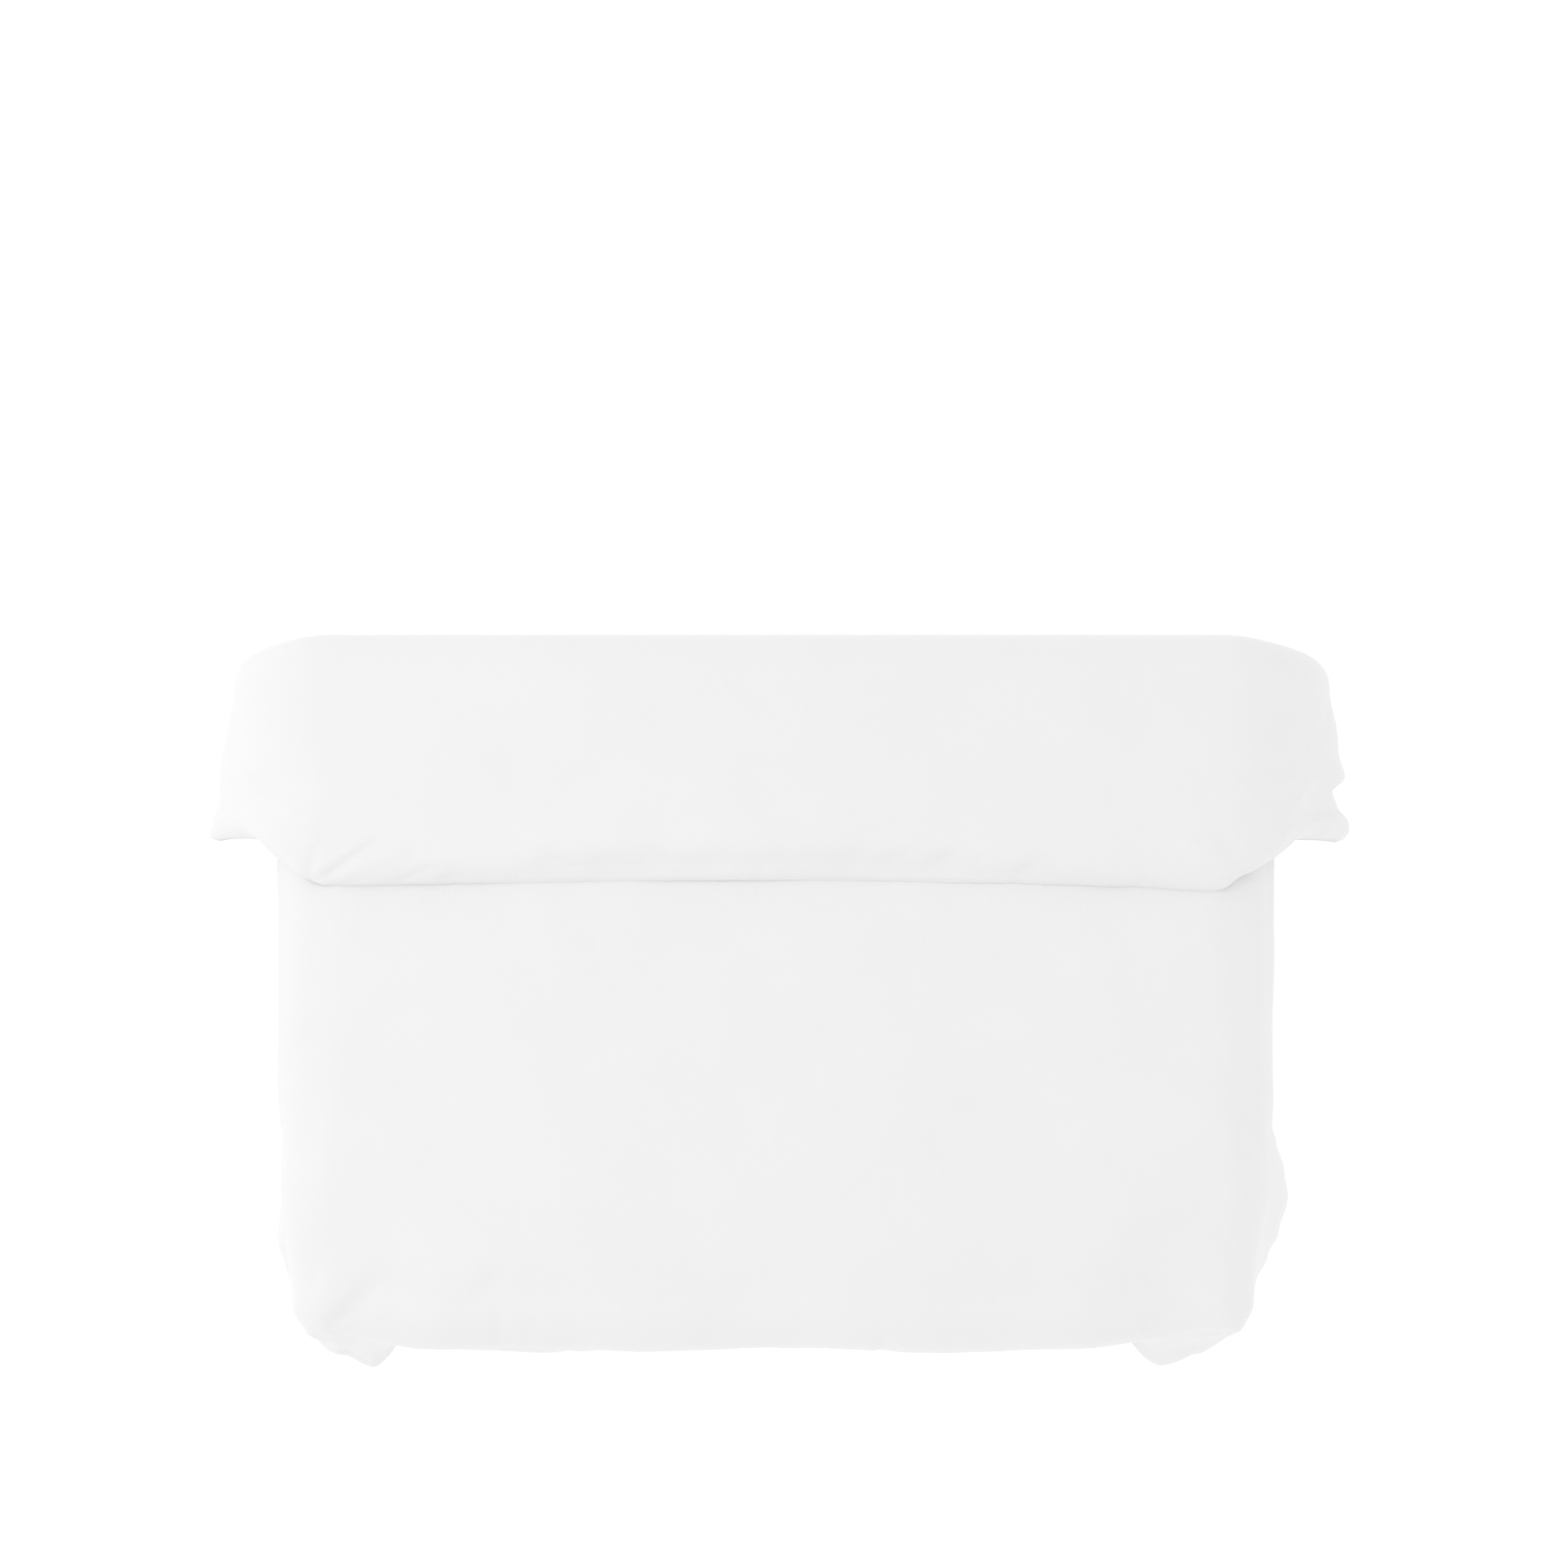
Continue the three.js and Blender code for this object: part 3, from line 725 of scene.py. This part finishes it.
# the insert: a quilted shell round its fill, in stitched pockets
insert = {
    "columns": 7,
    "stitchDip": 0.5,  # share of the half thickness lost at a stitch line
    "dipWidth": 0.035,
    "clearance": 0.0095,  # from the cover, where the insert is fullest
    "edgeHalf": 0.0006,
    "parting": 0.002,  # each piece stops this far short of the fold's end
    "grid": 118,
    "bodyRows": 86,
    "cuffRows": 44,
}


def insertHalf(u, v):
    inside = fromHem(u, v) - cut["shellInset"]
    full = roundHalf(inside, middle - insert["clearance"], insert["edgeHalf"])
    lines = [bed["flatHalf"] * (2 * k / (insert["columns"] - 2) - 1) for k in range(insert["columns"] - 1)]
    rows = [cut["cuff"], foldEnd, (foldEnd + footV) / 2, footV]
    dip = sum(bump(u, line, insert["dipWidth"] / 2) for line in lines)
    dip = dip + sum(bump(v, line, insert["dipWidth"] / 2) for line in rows)
    return np.maximum(full * (1 - insert["stitchDip"] * np.clip(dip, 0, 1)), insert["edgeHalf"])


def insertPiece(name, rows, vFrom, vTo, nodes):
    edge = halfWidth - cut["shellInset"]
    lines = [(0, -edge), (insert["grid"], edge)], [(0, vFrom), (rows, vTo)]

    def shellFace(u, v, sign):
        half, coverHalf = insertHalf(u, v), roundHalf(fromHem(u, v), middle, cut["hemHalf"])
        upper = half - pulledThin(u, v) * coverHalf / middle
        lower = np.minimum(-half, upper - 2 * insert["edgeHalf"])
        return placeInside(u, v, middle + (upper if sign > 0 else lower))

    faces = [clothGrid(*lines, lambda u, v, sign=sign: shellFace(u, v, sign), sign < 0) for sign in (1, -1)]
    piece = objectFrom(closedBag(*faces), name, "insertCambric")
    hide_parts(*nodes)
    return piece


columnNames = ["side_left", "outer_left", "inner_left", "middle", "inner_right", "outer_right", "side_right"]
bodyFill = [f"fill_{column}_{row}" for column in columnNames for row in ("head", "mid", "foot")]
cuffFill = [f"fill_{column}_cuff" for column in columnNames]
bodyNodes = ["insert_top_panel", "insert_under_panel", *bodyFill]
cuffNodes = ["insert_top_fold", "insert_under_fold", "insert_top_cuff", "insert_under_cuff", "fill_fold",
             *cuffFill]
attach(insertPiece("insertBody", insert["bodyRows"], foldEnd + insert["parting"],
                    cut["length"] - cut["shellInset"], bodyNodes), "duvet")
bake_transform(insertPiece("insertCuff", insert["cuffRows"], cut["shellInset"],
                     foldEnd - insert["parting"], cuffNodes))
print("insert laid")

zipFastener = {
    "halfLength": 0.5,
    "tapeWidth": 0.014,
    "tapeCloth": 0.0006,
    "tapeApart": 0.0002,  # each tape's nearer face from the hem's middle
    "tapeShort": 0.0003,  # the tapes stop this far inside the hem
    "pitch": 0.002,
    "wire": 0.0003,
    "loopHeight": 0.0034,
    "loopDepth": 0.0019,
    "loopLap": 0.0002,  # how far the two rows of loops reach into each other
}


# a flat strip of woven cloth, laid by shapeOf(u, v)
def strapPiece(name, uRange, vRange, cells, shapeOf, thickness, material, nodes):
    lines = [(0, uRange[0]), (cells[0], uRange[1])], [(0, vRange[0]), (cells[1], vRange[1])]
    strap = objectFrom(clothGrid(*lines, shapeOf), name, material)
    wall = strap.modifiers.new("cloth", "SOLIDIFY")
    wall.thickness, wall.offset = thickness, 0
    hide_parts(*nodes)
    return strap


def zipTapes():
    size = zipFastener
    for side, sign in (("top", 1), ("under", -1)):
        level = middle + sign * (size["tapeApart"] + size["tapeCloth"] / 2)
        tape = strapPiece(f"zipTape_{side}", (-size["halfLength"], size["halfLength"]),
                          (cut["length"] - size["tapeWidth"], cut["length"] - size["tapeShort"]), (250, 6),
                          lambda u, v: place(u, v, level), size["tapeCloth"], "zipTapeWeave",
                          [f"zip_tape_{side}"])
        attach(tape, "duvet")


# one wire loop of the coil, then a row of them, half a pitch on for the other side
def zipCoils():
    size = zipFastener
    for side, sign in (("top", 1), ("under", -1)):
        low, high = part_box(f"zip_chain_{side}")
        hem = (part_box("zip_chain_top")[1].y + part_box("zip_chain_under")[0].y) / 2
        mesh = bmesh.new()
        ring = bmesh.ops.create_circle(mesh, radius=size["wire"], segments=6)["verts"]
        bmesh.ops.translate(mesh, vec=(1, 0, 0), verts=ring)
        bmesh.ops.spin(mesh, geom=mesh.edges[:], cent=(0, 0, 0), axis=(0, 1, 0), angle=2 * math.pi, steps=12,
                       use_merge=True)
        bmesh.ops.recalc_face_normals(mesh, faces=mesh.faces)
        for vert in mesh.verts:
            around = Vector((vert.co.x, 0, vert.co.z)).normalized()
            off = vert.co - around
            y, z = around.x * size["loopDepth"] / 2, around.z * size["loopHeight"] / 2
            vert.co = (off.y, y + around.x * off.dot(around), z + around.z * off.dot(around))
        phase = 0.0 if sign > 0 else size["pitch"] / 2
        start = -size["halfLength"] + size["pitch"] / 4 + phase
        across = hem - sign * (size["loopDepth"] / 2 - size["loopLap"])
        bmesh.ops.translate(mesh, vec=(start, across, (low.z + high.z) / 2), verts=mesh.verts)
        coil = objectFrom(mesh, f"zipCoil_{side}", "zipNylon")
        row = coil.modifiers.new("row", "ARRAY")
        row.count = int(2 * size["halfLength"] / size["pitch"])
        row.use_relative_offset = False
        row.use_constant_offset = True
        row.constant_offset_displace = (size["pitch"], 0, 0)
        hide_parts(f"zip_chain_{side}")
        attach(coil, "duvet")


easedEdge = {"zip_slider": 0.00035, "zip_pull": 0.0003, "zip_stop_left": 0.0003, "zip_stop_right": 0.0003}


# the stops, slider and pull keep their own solids, with eased edges
def finishMetal():
    for name, ease in easedEdge.items():
        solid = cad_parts[name]
        for slot in solid.material_slots:
            slot.material = materials["zipPaintedMetal"]
        edge = solid.modifiers.new("eased", "BEVEL")
        edge.width, edge.segments = ease, 3
        edge.limit_method, edge.angle_limit = "ANGLE", math.radians(35)
        edge.harden_normals = False


# tie and loop: where each starts and ends inside the side seam, and how far it is from the end hem
tie = {
    "width": 0.009,
    "cloth": 0.0008,
    "arch": 0.0016,
    "tie": (0.001, 0.016, 0.022),
    "loop": (0.012, 0.026, 0.032),
}


def cornerStrap(kind, end, side, sign):
    inFrom, inTo, near = tie[kind]
    low, high = sorted((sign * (halfWidth - inFrom), sign * (halfWidth - inTo)))
    start = cut["length"] - near - tie["width"] if end == "foot" else near

    def arched(u, v):
        share = (u - low) / (high - low)
        return placeInside(u, v, middle + tie["arch"] * (np.sin(share * math.pi) - 0.5) * 0.5)

    return strapPiece(f"corner{kind.title()}_{end}_{side}", (low, high), (start, start + tie["width"]),
                      (12, 6), arched, tie["cloth"], "tieTwill", [f"corner_{kind}_{end}_{side}"])


def cornerTies():
    for end in ("head", "foot"):
        for side, sign in (("left", -1), ("right", 1)):
            for kind in ("tie", "loop"):
                strap = cornerStrap(kind, end, side, sign)
                if end == "foot":
                    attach(strap, "duvet")
                else:
                    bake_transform(strap)


label = {"v": 1.45, "width": 0.022, "length": 0.032, "tail": 0.008, "cloth": 0.0004, "curl": 0.004}


# the label's tail is caught in the side seam and the rest hangs from it
def careLabel():
    def hanging(u, v):
        caught = np.minimum(u, halfWidth)
        share = np.clip((u - halfWidth) / label["length"], 0, 1)
        spot = placeInside(caught, v, middle) + place(u, v, middle) - place(caught, v, middle)
        twist = 1 + 0.4 * np.sin((v - label["v"]) / label["width"] * math.pi)
        spot[..., 0] += label["curl"] * share * share * twist
        return spot

    tag = strapPiece("careLabel", (halfWidth - label["tail"], halfWidth + label["length"]),
                     (label["v"], label["v"] + label["width"]), (20, 10), hanging, label["cloth"],
                     "labelSatin", ["care_label"])
    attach(tag, "duvet")


zipTapes()
zipCoils()
finishMetal()
cornerTies()
careLabel()
print("zip, ties and label made")


# camera and light; each light: place, size, power
studio = {
    "lens": 100.0,
    "frameWidth": 2.687,  # how much of the duvet's top the picture spans
    "centre": (0.0125, 0.363),
    "world": 0.93,
    "keyLight": ((-3.4, 0.8, 3.6), 3.0, 36.0),
    "fillLight": ((3.0, -1.5, 4.0), 3.5, 12.0),
}


def aimedArea(name):
    spot, size, power = studio[name]
    light = bpy.data.lights.new(name, "AREA")
    light.size, light.energy = size, power
    lamp = bpy.data.objects.new(name, light)
    lamp.location = spot
    lamp.rotation_euler = (-Vector(spot)).to_track_quat("-Z", "Y").to_euler()
    scene.collection.objects.link(lamp)


def setStudio():
    eye = bpy.data.objects.new("camera", bpy.data.cameras.new("camera"))
    eye.data.lens = studio["lens"]
    distance = studio["frameWidth"] * studio["lens"] / eye.data.sensor_width
    eye.location = (*studio["centre"], cut["loft"] + distance)
    eye.data.clip_end = 60
    scene.collection.objects.link(eye)
    scene.camera = eye
    for name in ("keyLight", "fillLight"):
        aimedArea(name)
    world = bpy.data.worlds.new("studio")
    world.use_nodes = True
    background = world.node_tree.nodes["Background"]
    background.inputs["Color"].default_value = (1, 1, 1, 1)
    background.inputs["Strength"].default_value = studio["world"]
    scene.world = world
    scene.view_settings.view_transform = "Standard"
    scene.view_settings.look = "None"


floor = {"halfSize": 40, "below": 0.004, "tone": 0.93, "rough": 0.9, "glow": 0.22}


def layFloor():
    mesh = bmesh.new()
    bmesh.ops.create_grid(mesh, x_segments=8, y_segments=8, size=floor["halfSize"])
    bmesh.ops.translate(mesh, vec=(0, 0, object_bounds()[0].z - floor["below"]), verts=mesh.verts)
    material, _, shader = newMaterial("paleFloor")
    shader.inputs["Base Color"].default_value = (floor["tone"],) * 3 + (1,)
    shader.inputs["Roughness"].default_value = floor["rough"]
    shader.inputs["Emission Color"].default_value = (1, 1, 1, 1)
    shader.inputs["Emission Strength"].default_value = floor["glow"]
    materials["paleFloor"] = material
    objectFrom(mesh, "floor", "paleFloor")


setStudio()
layFloor()
print("studio set")
